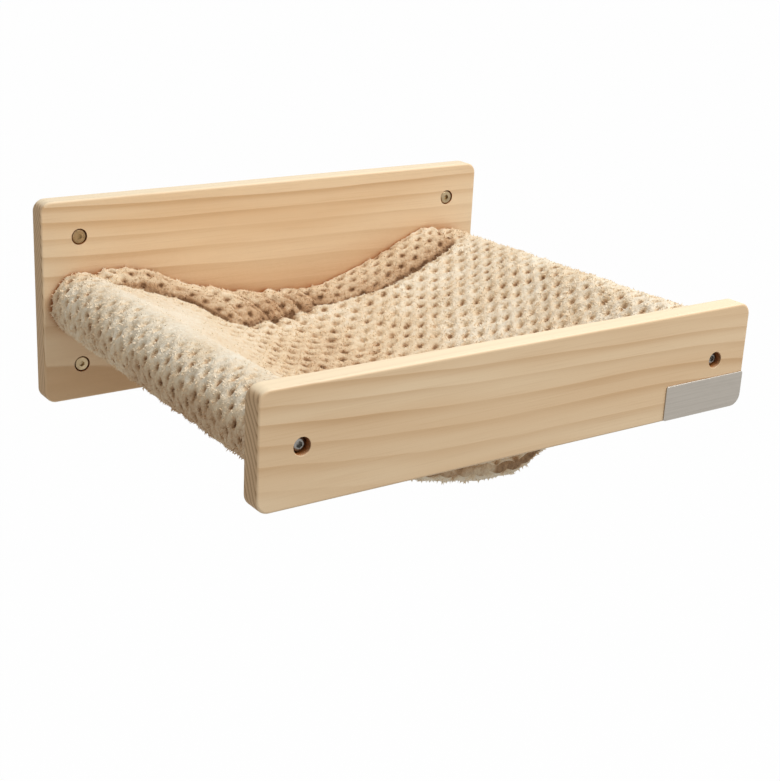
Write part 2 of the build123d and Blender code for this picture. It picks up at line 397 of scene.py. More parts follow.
@dataclass(frozen=True)
class PlushLattice:
    """The staggered pits of the plush and the ribs between their rows, in metres of cloth."""

    across: float = 15.5 * MM
    along: float = 18.0 * MM
    pit_half_length: float = 2.5 * MM
    pit_half_width: float = 2.1 * MM
    groove_half_width: float = 2.3 * MM

    def pits(self, u: Any, v: Any, exp: Any) -> Any:
        """How deep in a pit each place is.

        Args:
            u: Distance round the sling, as numbers or a Shade.
            v: Distance from the front board, as numbers or a Shade.
            exp: The exponential for that kind of value.

        Returns:
            1 in a pit's middle and 0 away from the pits.
        """
        total = 0.0
        for shift in (0.0, 0.5):
            du = self.wrap(u / self.across + shift) * (self.across / self.pit_half_length)
            dv = self.wrap(v / self.along + shift) * (self.along / self.pit_half_width)
            total = exp(-(du * du + dv * dv)) + total
        return total

    def grooves(self, v: Any, exp: Any) -> Any:
        """How deep in the groove between two ribs each place is, from 0 to 1."""
        away = self.wrap(v / (self.along / 2)) * (self.along / 2 / self.groove_half_width)
        return exp(-(away * away))

    def puffs(self, u: np.ndarray, v: np.ndarray) -> np.ndarray:
        """The soft swelling of the pile, from -1 at the pits to 1 midway between them."""
        return -np.cos(2 * math.pi * u / self.across) * np.cos(2 * math.pi * v / self.along)

    @staticmethod
    def wrap(place: Any) -> Any:
        """Distance past the nearest whole number, from -0.5 to 0.5."""
        if isinstance(place, Shade):
            return (place + 0.5).fract() - 0.5
        return np.mod(place + 0.5, 1.0) - 0.5


@dataclass(frozen=True)
class PlushFinish:
    """Deep cream plush: pale tips, brown shade down in the pits and folds."""

    name: str
    lattice: PlushLattice
    tips: Colour = tone(250, 239, 219)
    body: Colour = tone(237, 214, 181)
    root: Colour = tone(194, 156, 119)
    deep: Colour = tone(126, 92, 64)
    pit_shade: float = 0.60
    groove_shade: float = 0.08
    painted_shade_weight: float = 0.75
    tuft_shade: float = 0.60
    strand_shade: float = 0.25
    patch_shade: float = 0.50
    least_shade: float = 0.10
    relief_height: float = 2.2 * MM
    bump_strength: float = 0.85

    def material(self) -> bpy.types.Material:
        """Paints the plush.

        Returns:
            The material.
        """
        paint = Painter(self.name)
        place = paint.node("ShaderNodeTexCoord", None, None, "Object")
        cloth = paint.node("ShaderNodeUVMap", {"uv_map": Cloth.COORDINATES.value}, None)
        painted_shade = paint.node("ShaderNodeAttribute", {"attribute_name": Cloth.PAINTED_SHADE.value}, None, "Fac")
        taut = paint.node("ShaderNodeAttribute", {"attribute_name": Cloth.TAUT.value}, None, "Fac")
        stir_u = paint.grain(place, 240.0, 2.0, 2.0) - 0.5
        stir_v = paint.grain(place, 240.0, 12.0, 2.0) - 0.5
        u, v, _ = paint.split(cloth)
        u = u + stir_u * 0.0030
        v = v + stir_v * 0.0026
        strength = paint.grain(place, 55.0, 31.0, 1.0).ease(0.30, 0.62) * 0.75 + 0.40
        loose = 1.0 - taut * 0.92
        pits = (self.lattice.pits(u, v, Shade.exp) * strength * loose).least(1.0)
        grooves = self.lattice.grooves(v, Shade.exp) * loose
        tuft = paint.grain(place, 420.0, 4.0, 4.0, 0.62)
        strand = paint.grain(place, 1500.0, 6.0, 2.0, 0.6)
        patch = paint.grain(place, 26.0, 7.0, 3.0)
        # Painted shade: pits, grooves and the carried painted-shade value darken the ramp; the tuft, strand
        # and patch noise is the pile's own uneven tone.
        depth = pits * self.pit_shade + grooves * self.groove_shade + painted_shade * self.painted_shade_weight
        depth = depth + (tuft - 0.5) * self.tuft_shade + (strand - 0.5) * self.strand_shade
        depth = (depth + (patch - 0.5) * self.patch_shade + self.least_shade).most(0.0).least(1.0)
        stops = [(0.0, self.tips), (0.30, self.body), (0.66, self.root), (1.0, self.deep)]
        colour = paint.ramp(depth, stops)
        height = tuft * 0.8 + strand * 0.35 - pits * 0.6
        return paint.finish(
            Base_Color=colour,
            Roughness=0.86 + pits * 0.1,
            Specular_IOR_Level=0.12,
            Sheen_Weight=0.06,
            Sheen_Roughness=0.45,
            Sheen_Tint=tone(255, 244, 224),
            Normal=paint.bump(height, self.relief_height, self.bump_strength),
        )


class Cloth(Enum):
    """Names of what the sling's mesh carries for its finish."""

    COORDINATES = "cloth"
    PAINTED_SHADE = "painted_shade"
    TAUT = "taut"


class Body(Enum):
    """The bodies of the part."""

    ROOT = "root"


def put_finish(node: str, material: bpy.types.Material) -> None:
    """Gives a piece of the frame its finish.

    Args:
        node: The piece's name.
        material: Its finish.
    """
    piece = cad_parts[node]
    if not piece.material_slots:
        piece.data.materials.append(material)
    for place in piece.material_slots:
        place.material = material
    log.info("%s: %s", node, material.name)


@dataclass
class Timber:
    """The two boards and the crossbars, each with where its log's middle lay, as (y, z) in metres."""

    rear_pith: tuple[float, float] = (0.25, -0.07)
    front_pith: tuple[float, float] = (-0.15, -0.10)
    bar_pith: tuple[float, float] = (0.0, 0.06)
    front_lean: float = -0.012
    front_ring_pitch: float = 0.0062
    front_sway: float = 0.005
    front_contrast: float = 0.75

    def dress(self) -> None:
        """Gives each board and bar a finish cut from its own log."""
        rear = PineFinish("rear_board_pine", *self.rear_pith, seed=3.1)
        front = PineFinish(
            "front_board_pine", *self.front_pith, lean_z=self.front_lean, ring_pitch=self.front_ring_pitch,
            sway=self.front_sway, contrast=self.front_contrast, seed=17.4,
        )
        bars = PineFinish("crossbar_pine", *self.bar_pith, lean_y=0.0, lean_z=0.0, seed=8.3)
        put_finish("rear_board", rear.material())
        put_finish("front_board", front.material())
        wood = bars.material()
        for side in ("left", "right"):
            put_finish(f"{side}_crossbar", wood)


@dataclass
class Hardware:
    """Bolts, washers, inserts, screws and the bare plate, with the marks per metre on each metal."""

    plated_marks: tuple[float, float, float] = (420.0, 420.0, 420.0)
    turned_marks: tuple[float, float, float] = (300.0, 900.0, 300.0)
    brushed_marks: tuple[float, float, float] = (14.0, 500.0, 1500.0)

    def dress(self) -> None:
        """Gives each fastener and the plate its metal."""
        zinc = MetalFinish(
            "zinc_plated_steel", tone(150, 147, 142), tone(104, 100, 94), 0.24, self.plated_marks, seed=1.0
        ).material()
        # Painted reflection: the screw metal is tinted beige to stand for the wood that its flush heads
        # reflect.
        screw = MetalFinish(
            "beige_tinted_screw_steel", tone(186, 166, 132), tone(128, 106, 76), 0.30, self.plated_marks,
            seed=5.0,
        ).material()
        brass = MetalFinish(
            "insert_brass", tone(206, 172, 104), tone(150, 118, 62), 0.32, self.turned_marks
        ).material()
        brushed = MetalFinish(
            "brushed_plate_steel", tone(180, 173, 163), tone(152, 145, 135), 0.38, self.brushed_marks,
            stain=0.06, seed=9.0,
        ).material()
        for end in ("front", "rear"):
            for side in ("left", "right"):
                put_finish(f"{end}_{side}_bolt", zinc)
                put_finish(f"{end}_{side}_washer", zinc)
                put_finish(f"{end}_{side}_insert", brass)
        for row in ("upper", "lower"):
            for side in ("left", "right"):
                put_finish(f"{row}_{side}_wall_screw", screw)
        put_finish("plate", brushed)


def ease(low: float, high: float, value: np.ndarray) -> np.ndarray:
    """Rises smoothly from 0 at low to 1 at high."""
    share = np.clip((value - low) / (high - low), 0, 1)
    return share * share * (3 - 2 * share)


def smooth_line(knots: Sequence[tuple[float, float]], value: np.ndarray) -> np.ndarray:
    """A smooth line through knots.

    Args:
        knots: (place, height) pairs in order of place.
        value: The places to read.

    Returns:
        The heights there.
    """
    places, heights = np.array(knots, float).T
    before = np.append(0, np.arange(len(places) - 1))
    after = np.append(np.arange(1, len(places)), len(places) - 1)
    slopes = (heights[after] - heights[before]) / (places[after] - places[before])
    value = np.clip(value, places[0], places[-1])
    step = np.clip(np.searchsorted(places, value) - 1, 0, len(places) - 2)
    span = places[step + 1] - places[step]
    t = (value - places[step]) / span
    return (
        heights[step] * (2 * t**3 - 3 * t**2 + 1)
        + slopes[step] * span * (t**3 - 2 * t**2 + t)
        + heights[step + 1] * (3 * t**2 - 2 * t**3)
        + slopes[step + 1] * span * (t**3 - t**2)
    )


@dataclass
class Weave:
    """The outer cloth as a grid, rows from the rear and columns round the section, in millimetres.

    u and v are the distances round the cloth and from the front board, in metres.
    """

    grid: np.ndarray
    u: np.ndarray
    v: np.ndarray
    painted_shade: np.ndarray
    taut: np.ndarray

    def carry(self, data: bpy.types.Mesh, painted_shade: np.ndarray, taut: np.ndarray) -> None:
        """Gives a mesh's corners what the finish reads.

        Args:
            data: The mesh.
            painted_shade: How much painted shade each of its corners carries.
            taut: How smooth each of its corners is.
        """
        for kind, values in ((Cloth.PAINTED_SHADE, painted_shade), (Cloth.TAUT, taut)):
            carried = data.attributes.new(kind.value, "FLOAT", "POINT")
            carried.data.foreach_set("value", values.astype(np.float32))


@dataclass
class PlushSling:
    """The plush bed with a sleeve round each crossbar. Sizes are in millimetres."""

    name: str = "plush_sling_cloth"
    bar_x: float = 170.0
    bar_length: float = 306.0
    bore_radius: float = 15.3
    rear_y: float = -16.0
    end_gap: float = 0.4
    sleeve_radius: float = 24.5
    sleeve_swell: float = 2.4
    sleeve_droop: float = 1.5
    sleeve_rise: float = 2.0
    crest_angle: float = 26.0
    underside_angle: float = 38.0
    thickness: float = 15.0
    rear_sag: float = 38.0
    rear_slope: float = 30.0
    deepest_sag: float = 84.0
    deepest_share: float = 0.68
    front_sag: float = 72.0
    bed_rear_roundness: float = 1.3
    bed_roundness_gain: float = 0.4
    bed_roundness_share: float = 0.3
    belly_roundness: float = 1.7
    bunch_height: float = 13.0
    bunch_rise: tuple[float, float] = (8.0, 48.0)
    bunch_fall: tuple[float, float] = (85.0, 150.0)
    bunch_share: float = 0.8
    bed_points: int = 300
    sleeve_points: int = 84
    belly_points: int = 110
    bore_points: int = 40
    row_step: float = 1.2
    end_rounding: float = 6.0
    sleeve_end_rounding: float = 3.0
    sleeve_from: tuple[float, float] = (10.0, 12.0)
    sleeve_to: tuple[float, float] = (17.5, 20.0)
    pitches_bed: int = 23
    pitches_sleeve: int = 7
    pitches_belly: int = 22
    flat_width: float = 600.0
    flat_length: float = 305.0
    hem_crown_share: float = 0.22
    hem_fullness: float = 2.0
    hem_crease: float = 4.5
    hem_crease_right: float = 4.5
    hem_crease_fade: float = 4.5
    hem_lip: float = 0.8
    hem_lip_right: float = 2.8
    hem_lip_place: float = 11.0
    hem_lip_width: float = 7.0
    hem_right_reach: float = 50.0
    hem_side_blend: float = 8.0
    # The x and height of the hem's top, then the x and depth of its foot.
    hem_top: Points = (
        (-185, 19), (-158, 23), (-145, 23), (-133, 22.5), (-113, 18), (-97, 10), (-79, 3), (-57, -3),
        (-29, -9),
        (0, -12), (42, -12), (72, -3), (102, 8), (122, 17), (143, 25), (161, 27), (185, 23),
    )
    hem_foot: Points = (
        (-185, 20), (-129, 19), (-108, 21), (-95, 26), (-86, 38), (-78, 47), (-68, 54), (-50, 49),
        (-30, 42), (15, 28), (43, 32), (83, 39), (133, 36), (159, 32), (185, 32),
    )
    pleat_pitch: float = 24.0
    pleat_height: float = 5.0
    pleat_slant: float = 0.35
    pleat_mean: float = 0.64
    pleats_from: tuple[float, float] = (-76.0, -62.0)
    pleats_to: tuple[float, float] = (18.0, 40.0)
    pleats_forward: tuple[float, float] = (2.0, 24.0)
    # The x and depth of each fold's two ends, its width and its height.
    folds: Points = (
        (62, 70, 150, 120, 13, 3.0),
        (30, 100, 95, 84, 10, -2.0),
        (-20, 60, 30, 95, 12, -2.0),
        (-140, 120, -100, 200, 9, 1.8),
        (-146, 175, -112, 245, 8, 1.5),
    )
    puff_height: float = 0.7
    pit_depth: float = 2.2
    groove_depth: float = 0.4
    lump_height: float = 0.9
    fluff_height: float = 0.75
    # How strong the painted shade is on the sides, low on the rolled hem and in the bed's middle.
    side_painted_shade: float = 0.26
    side_painted_shade_front: float = 0.24
    rolled_hem_painted_shade: float = 0.16
    middle_painted_shade: float = 0.44
    tuft_seed: int = 41
    tuft_count: int = 40000
    tuft_length: float = 1.5
    tuft_radius: float = 0.62

    def radius(self, share: np.ndarray) -> np.ndarray:
        """Outer radius of a sleeve, from the rear board (0) to the front board (1)."""
        return self.sleeve_radius + self.sleeve_swell * share**1.5

    def level(self, share: np.ndarray) -> np.ndarray:
        """Height of a sleeve's middle."""
        return -self.sleeve_droop + (self.sleeve_droop + self.sleeve_rise) * share

    def crest(self, share: np.ndarray) -> tuple[np.ndarray, np.ndarray]:
        """Half width and height of the line where the bed leaves a sleeve."""
        angle = math.radians(self.crest_angle)
        radius = self.radius(share)
        return self.bar_x - radius * math.sin(angle), self.level(share) + radius * math.cos(angle)

    def sag(self, share: np.ndarray) -> np.ndarray:
        """Depth of the bed's middle under its crests."""
        deep = self.deepest_share
        t = np.clip(share / deep, 0, 1)
        rear = (
            self.rear_sag * (2 * t**3 - 3 * t**2 + 1)
            + self.rear_slope * deep * (t**3 - 2 * t**2 + t)
            + self.deepest_sag * (3 * t**2 - 2 * t**3)
        )
        t = np.clip((share - deep) / (1 - deep), 0, 1)
        front = self.deepest_sag + (self.front_sag - self.deepest_sag) * t**2
        return np.where(share < deep, rear, front)

    def bunch(self, x: np.ndarray, share: np.ndarray) -> np.ndarray:
        """How far the front end is bunched up right of the middle."""
        across = ease(*self.bunch_rise, x) * (1 - ease(*self.bunch_fall, x))
        return self.bunch_height * across * ease(self.bunch_share, 1, share)

    def hung(self, x: np.ndarray, share: np.ndarray) -> np.ndarray:
        """Height of the bed as it hangs, with no folds.

        Args:
            x: Places across the bed.
            share: From the rear board (0) to the front board (1).

        Returns:
            The heights.
        """
        half_width, crest_z = self.crest(share)
        across = np.clip(np.abs(x) / half_width, 0, 1)
        along = np.clip(share / self.bed_roundness_share, 0, 1)
        roundness = self.bed_rear_roundness + self.bed_roundness_gain * along
        return crest_z - self.sag(share) * (1 - across**roundness) + self.bunch(x, share)

    def upper(self, x: np.ndarray, share: np.ndarray) -> np.ndarray:
        """Height of the bed's upper face with its rolled rear hem, pleats and soft folds.

        Args:
            x: Places across the bed.
            share: From the rear board (0) to the front board (1).

        Returns:
            The heights.
        """
        depth = share * self.bar_length
        half_width, _ = self.crest(share)
        hung = self.hung(x, share)
        foot_depth = smooth_line(self.hem_foot, x)
        right = ease(0, self.hem_right_reach, x)
        notch = self.hem_crease + self.hem_crease_right * right
        foot = self.hung(x, foot_depth / self.bar_length) - notch
        fall = np.clip((depth / foot_depth - self.hem_crown_share) / (1 - self.hem_crown_share), 0, 1)
        crown = (1 - fall**self.hem_fullness) ** (1 / self.hem_fullness)
        rolled = foot + (smooth_line(self.hem_top, x) - foot) * crown
        beyond = np.clip(depth - foot_depth, 0, None)
        raised = np.exp(-(((beyond - self.hem_lip_place) / self.hem_lip_width) ** 2))
        lip = (self.hem_lip + self.hem_lip_right * right) * raised
        lip = lip - notch * np.exp(-beyond / self.hem_crease_fade)
        height = np.where(depth < foot_depth, rolled, hung + lip) + self.pleats(x, depth, foot_depth)
        inside = ease(0, self.hem_side_blend, half_width - np.abs(x))
        return hung + (height + self.ripples(x, depth) - hung) * inside

    def pleats(self, x: np.ndarray, depth: np.ndarray, foot_depth: np.ndarray) -> np.ndarray:
        """The gathers that run forward out of the hem's low middle.

        Args:
            x: Places across the bed.
            depth: Places from the rear board.
            foot_depth: Where the hem's foot lies.

        Returns:
            Heights to add.
        """
        drift = 4.5 * np.sin(x / 15.0) + 2.0 * np.sin(depth / 9.0)
        ridge = np.abs(np.sin(math.pi * (x - self.pleat_slant * depth + drift) / self.pleat_pitch))
        where = ease(*self.pleats_from, x) * (1 - ease(*self.pleats_to, x))
        where = where * (1 - ease(*self.pleats_forward, depth - foot_depth)) * ease(-6, 14, depth)
        return self.pleat_height * (ridge - self.pleat_mean) * where

    def ripples(self, x: np.ndarray, depth: np.ndarray) -> np.ndarray:
        """The soft wrinkles out on the bed.

        Args:
            x: Places across the bed.
            depth: Places from the rear board.

        Returns:
            Heights to add.
        """
        total = np.zeros_like(x)
        for x0, d0, x1, d1, width, height in self.folds:
            run_x, run_d = x1 - x0, d1 - d0
            share = np.clip(((x - x0) * run_x + (depth - d0) * run_d) / (run_x**2 + run_d**2), 0, 1)
            away = np.hypot(x - x0 - share * run_x, depth - d0 - share * run_d) / width
            total += height * np.exp(-(away**2))
        return total

    def lower(self, x: np.ndarray, share: np.ndarray) -> np.ndarray:
        """Height of the bed's lower face, which hangs from the undersides of the sleeves."""
        angle = math.radians(self.underside_angle)
        radius = self.radius(share)
        half_width = self.bar_x - radius * math.sin(angle)
        rim = self.level(share) - radius * math.cos(angle)
        _, crest_z = self.crest(share)
        lowest = crest_z - self.sag(share) - self.thickness
        across = np.clip(np.abs(x) / half_width, 0, 1)
        return rim + (lowest - rim) * (1 - across**self.belly_roundness) + self.bunch(x, share)

    def section(self, share: float) -> tuple[np.ndarray, np.ndarray]:
        """The sling's outline on one plane across the crossbars.

        Args:
            share: From the rear board (0) to the front board (1).

        Returns:
            Its (x, z) places, from the middle of the belly round by the left, and each place's
            distance round the cloth, in pitches of the plush.
        """
        at = np.float64(share)
        radius, level = float(self.radius(at)), float(self.level(at))
        crest, under = math.radians(self.crest_angle), math.radians(self.underside_angle)
        half_top = self.bar_x - radius * math.sin(crest)
        half_low = self.bar_x - radius * math.sin(under)

        def spread(start: float, end: float, count: int, height: Any) -> np.ndarray:
            """Places across the cloth at even steps along its curve."""
            fine = np.linspace(start, end, 400)
            run = np.concatenate([[0], np.cumsum(np.hypot(np.diff(fine), np.diff(height(fine, at))))])
            return np.interp(np.linspace(0, run[-1], count, endpoint=False), run, fine)

        def arc(side: int, start: float, end: float, count: int) -> np.ndarray:
            """Places round a sleeve, with angles measured from its inner side, upwards."""
            turn = np.linspace(start, end, count, endpoint=False)
            return np.stack([side * (self.bar_x - radius * np.cos(turn)), level + radius * np.sin(turn)], 1)

        belly_half = self.belly_points // 2
        low = math.pi * 1.5 + under
        high = math.pi / 2 - crest
        belly_left = spread(0, -half_low, belly_half, self.lower)
        bed = spread(-half_top, half_top, self.bed_points, self.hung)
        belly_right = spread(half_low, 0, belly_half, self.lower)
        places = [
            np.stack([belly_left, self.lower(belly_left, at)], 1),
            arc(-1, low, high, self.sleeve_points),
            np.stack([bed, self.upper(bed, at)], 1),
            arc(1, high, low, self.sleeve_points),
            np.stack([belly_right, self.lower(belly_right, at)], 1),
        ]
        stops, counts = [0.0], []
        for pitches, count in (
            (self.pitches_belly / 2, belly_half),
            (self.pitches_sleeve, self.sleeve_points),
            (self.pitches_bed, self.bed_points),
            (self.pitches_sleeve, self.sleeve_points),
            (self.pitches_belly / 2, belly_half),
        ):
            counts.append(np.linspace(stops[-1], stops[-1] + pitches, count, endpoint=False))
            stops.append(stops[-1] + pitches)
        return np.concatenate(places), np.concatenate(counts)

    def build(self, finish: PlushFinish) -> bpy.types.Object:
        """Makes the sling's mesh and dresses it.

        Args:
            finish: The plush.

        Returns:
            The sling.
        """
        lattice = finish.lattice
        shares = self.rows()
        sections = [self.section(share) for share in shares]
        outline = np.stack([places for places, _ in sections])
        rows, columns = outline.shape[:2]
        y = self.rear_y - self.end_gap - shares * (self.bar_length - 2 * self.end_gap)
        grid = np.empty((rows, columns, 3))
        grid[..., 0], grid[..., 2] = outline[..., 0], outline[..., 1]
        grid[..., 1] = y[:, None]
        u = np.broadcast_to(sections[0][1] * lattice.across, (rows, columns)).copy()
        v = self.run_forward(grid)
        weave = Weave(grid, u, v, np.zeros_like(u), self.tautness(grid, u / lattice.across))
        grid = grid + self.normals(grid) * self.relief(weave, lattice)[..., None]
        grid[..., 1] = np.clip(grid[..., 1], y[-1], y[0])
        grid[0, :, 1], grid[-1, :, 1] = y[0], y[-1]
        weave.grid = grid
        piece = self.mesh(weave, self.round_length(lattice))
        pile = self.pile(weave)
        tips = replace(finish, name=f"{finish.name}_tips", bump_strength=0.0)
        for part, look in ((piece, finish), (pile, tips)):
            part.data.materials.append(look.material())
            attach(part, Body.ROOT.value)
            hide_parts("plush_sling")
            log.info("%s: %d faces", part.name, len(part.data.polygons))
        return piece

    def pile(self, weave: Weave) -> bpy.types.Object:
        """Strews small closed tufts of pile over the cloth, each rooted in it.

        Args:
            weave: The outer cloth.

        Returns:
            The tufts, as one piece.
        """
        grid, taut = weave.grid, weave.taut
        luck = np.random.default_rng(self.tuft_seed)
        wide = np.linalg.norm(np.roll(grid, -1, axis=1) - grid, axis=2)
        long = np.linalg.norm(np.diff(grid, axis=0, append=grid[-1:]), axis=2)
        share = (wide * long * (1 - 0.85 * taut))[3:-4].ravel()
        chosen = luck.choice(len(share), self.tuft_count, p=share / share.sum())
        row, column = np.divmod(chosen, grid.shape[1])
        row = row + 3
        root, up = grid[row, column], self.normals(grid)[row, column]
        count = self.tuft_count
        lean = luck.normal(0, 0.6, (count, 3)) + np.array([0, 0, -0.15])
        flat = taut[row, column][:, None]
        direction = up * (1 - 0.5 * flat) + lean
        direction /= np.linalg.norm(direction, axis=1, keepdims=True)
        length = self.tuft_length * luck.uniform(0.6, 1.25, (count, 1)) * (1 - 0.6 * flat)
        root = root + luck.uniform(-0.6, 0.6, (count, 3))
        aside = np.cross(direction, np.array([0.31, 0.58, 0.75]))
        aside /= np.linalg.norm(aside, axis=1, keepdims=True)
        other = np.cross(direction, aside)
        radius = self.tuft_radius * luck.uniform(0.7, 1.3, (count, 1))
        corners = [
            root - direction * 0.7 + radius * (math.cos(turn) * aside + math.sin(turn) * other)
            for turn in (0.0, 2 * math.pi / 3, 4 * math.pi / 3)
        ]
        places = np.stack([*corners, root + direction * length], axis=1)
        places[..., 1] = np.clip(places[..., 1], grid[-1, 0, 1], grid[0, 0, 1])
        first = 4 * np.arange(count)[:, None]
        sides = np.array([[0, 1, 3], [1, 2, 3], [2, 0, 3], [2, 1, 0]])
        faces = (first[:, :, None] + sides[None]).reshape(-1, 3)
        data = bpy.data.meshes.new("plush_pile_tufts")
        data.from_pydata((places * MM).reshape(-1, 3).tolist(), [], faces.tolist())
        weave.carry(data, np.repeat(weave.painted_shade[row, column], 4), np.repeat(taut[row, column], 4))
        layer = data.uv_layers.new(name=Cloth.COORDINATES.value)
        cloth = np.stack([weave.u[row, column], weave.v[row, column]], axis=1)
        layer.data.foreach_set("uv", np.repeat(cloth, 12, axis=0).astype(np.float32).ravel())
        data.validate()
        data.update()
        self.turn_outward(data)
        piece = bpy.data.objects.new("plush_pile_tufts", data)
        bpy.context.scene.collection.objects.link(piece)
        return piece

    def rows(self) -> np.ndarray:
        """Where the cloth's rows lie, from 0 to 1, closer together where the ends are rounded."""
        reach = self.end_rounding
        turn = np.linspace(0, math.pi / 2, 9)[:-1]
        near = reach * (1 - np.cos(turn))
        middle = np.arange(reach, self.bar_length - reach, self.row_step)
        depth = np.concatenate([near, middle, (self.bar_length - near)[::-1]])
        return depth / self.bar_length

    def end_inset(self, depth: np.ndarray, pitch: np.ndarray) -> np.ndarray:
        """How far the cloth curls inwards next to the boards.

        Args:
            depth: Places from the rear board.
            pitch: Distance round the cloth, in pitches.

        Returns:
            Distances inwards.
        """
        crest = self.pitches_belly / 2 + self.pitches_sleeve
        from_middle = np.abs(pitch - crest - self.pitches_bed / 2)
        loose = 1 - ease(*self.sleeve_from, from_middle) * (1 - ease(*self.sleeve_to, from_middle))
        inset = np.zeros_like(depth)
        front = self.sleeve_end_rounding + (self.end_rounding - self.sleeve_end_rounding) * loose
        for gap, reach in ((depth, self.sleeve_end_rounding), (self.bar_length - depth, front)):
            t = np.clip(1 - gap / reach, 0, 1)
            inset += reach * (1 - np.sqrt(1 - t * t))
        return inset

    def round_length(self, lattice: PlushLattice) -> float:
        """Distance once round the sling, in metres of cloth."""
        return (self.pitches_belly + 2 * self.pitches_sleeve + self.pitches_bed) * lattice.across

    def run_forward(self, grid: np.ndarray) -> np.ndarray:
        """Distance along the cloth from the front board.

        Args:
            grid: The sling's places, rows from the rear.

        Returns:
            The distance at each place, in metres.
        """
        steps = np.linalg.norm(np.diff(grid, axis=0), axis=2) * MM
        run = np.zeros(grid.shape[:2])
        run[:-1] = np.cumsum(steps[::-1], axis=0)[::-1]
        reach = 22
        padded = np.concatenate([run[:, -reach:], run, run[:, :reach]], axis=1)
        kernel = np.hanning(2 * reach + 1)
        kernel /= kernel.sum()
        return np.stack([np.convolve(row, kernel, mode="valid") for row in padded])

    def tautness(self, grid: np.ndarray, pitch: np.ndarray) -> np.ndarray:
        """Where the cloth is pulled smooth over the left crossbar.

        Args:
            grid: The sling's places.
            pitch: Distance round the cloth, in pitches.

        Returns:
            1 where the pile lies flat and 0 elsewhere.
        """
        crest = self.pitches_belly / 2 + self.pitches_sleeve
        depth = self.rear_y - grid[..., 1]
        wander = 0.6 * np.sin(depth / 23.0) + 0.4 * np.sin(depth / 9.0 + 1.0)
        inner = 1 - ease(4.2, 7.2, pitch - crest + wander)
        outer = ease(-2.0, -0.4, pitch - crest + wander * 0.5)
        return inner * outer * ease(16, 62, depth + 1.5 * (pitch - crest))

    @staticmethod
    def normals(grid: np.ndarray) -> np.ndarray:
        """Outward directions of a closed grid.

        Args:
            grid: Places, rows from the rear, columns clockwise round the section.

        Returns:
            Unit directions.
        """
        around = np.roll(grid, -1, axis=1) - np.roll(grid, 1, axis=1)
        forward = np.gradient(grid, axis=0)
        direction = np.cross(around, forward)
        direction /= np.linalg.norm(direction, axis=2, keepdims=True) + 1e-12
        top = grid[..., 2].argmax(axis=1)
        if direction[len(grid) // 2, top[len(grid) // 2], 2] < 0:
            direction = -direction
        return direction

    def relief(self, weave: Weave, lattice: PlushLattice) -> np.ndarray:
        """The plush's own relief: ribs, pits and fluff.

        It also works out the painted shade the cloth carries, from its creases and from shaded(), and puts
        the pattern's waviness in u and v.

        Args:
            weave: The outer cloth.
            lattice: The pattern of pits.

        Returns:
            Heights to add along the normals, in millimetres.
        """
        grid, u, v, taut = weave.grid, weave.u, weave.v, weave.taut
        flat = grid.reshape(-1, 3)

        def field(scale: float, seed: float, octaves: int) -> np.ndarray:
            """Noise over the sling, about -1 to 1."""
            shift = Vector((seed, seed * 1.3, seed * 0.7))
            values = [noise.fractal(Vector(p) / scale + shift, 1.0, 2.0, octaves) for p in flat]
            return np.array(values).reshape(grid.shape[:2])

        lumps = field(17.0, 11.0, 1)
        fluff = field(3.8, 23.0, 3)
        drift = field(62.0, 5.0, 1)
        fade = ease(0, 40, u / MM) * ease(0, 40, self.round_length(lattice) / MM - u / MM)
        u = u + 4.5 * MM * drift * fade
        v = v + 4.0 * MM * np.roll(drift, 61, axis=1)
        calm = 1 - 0.9 * taut
        crease = self.crease(grid)
        open_cloth = 1 - 0.8 * np.clip(crease * 1.5, 0, 1)
        pits = lattice.pits(u, v, np.exp) * (0.8 + 0.5 * lumps)
        puffs = lattice.puffs(u, v)
        dimpled = self.puff_height * puffs - self.pit_depth * pits
        dimpled = dimpled - self.groove_depth * lattice.grooves(v, np.exp)
        height = dimpled * calm * open_cloth
        height = height + self.lump_height * lumps * (1 - 0.4 * taut)
        height = height + self.fluff_height * fluff * (1 - 0.5 * taut)
        depth = self.rear_y - grid[..., 1]
        # Painted shade: the crease depth and shaded() darken the plush's colour through this carried value.
        weave.painted_shade, weave.u, weave.v = np.clip(crease + self.shaded(grid), 0, 1), u, v
        return height - self.end_inset(depth, u / lattice.across)

    def shaded(self, grid: np.ndarray) -> np.ndarray:
        """Painted shade: browner where the cloth faces sideways or down, low on the rolled hem and in the
        bed's middle.
        """
        depth = self.rear_y - grid[..., 1]
        upward = self.normals(grid)[..., 2]
        side = self.side_painted_shade + self.side_painted_shade_front * ease(60, 280, depth)
        side = ease(0.7, -0.1, upward) * side * ease(-45, -25, grid[..., 2])
        beyond_foot = depth - smooth_line(self.hem_foot, grid[..., 0])
        rolled = self.rolled_hem_painted_shade * ease(6, -6, beyond_foot) * ease(0.0, 0.4, upward)
        middle = np.exp(-(((grid[..., 0] + 10) / 75) ** 2) - ((depth - 130) / 80) ** 2)
        return side + rolled + self.middle_painted_shade * (middle * ease(0.2, 0.7, upward))

    def crease(self, grid: np.ndarray) -> np.ndarray:
        """How far each place lies down in a crease of the bed.

        Args:
            grid: The sling's places.

        Returns:
            From 0 on open cloth to 1 in the deepest creases.
        """
        z = grid[..., 2]
        spread = np.zeros_like(z)
        for reach in (5, 10):
            near = (
                np.roll(z, reach, axis=1) + np.roll(z, -reach, axis=1)
                + np.pad(z, ((reach, 0), (0, 0)), mode="edge")[:-reach]
                + np.pad(z, ((0, reach), (0, 0)), mode="edge")[reach:]
            ) / 4
            spread += np.clip(near - z - 0.4, 0, None) / reach
        first = self.belly_points // 2 + self.sleeve_points
        column = np.arange(z.shape[1])
        on_bed = (column >= first) & (column < first + self.bed_points)
        # Painted shade low on the hem is added to the crease depth.
        return np.clip(spread * 0.9, 0, 0.7) * on_bed + self.hem_painted_shade(grid) * on_bed

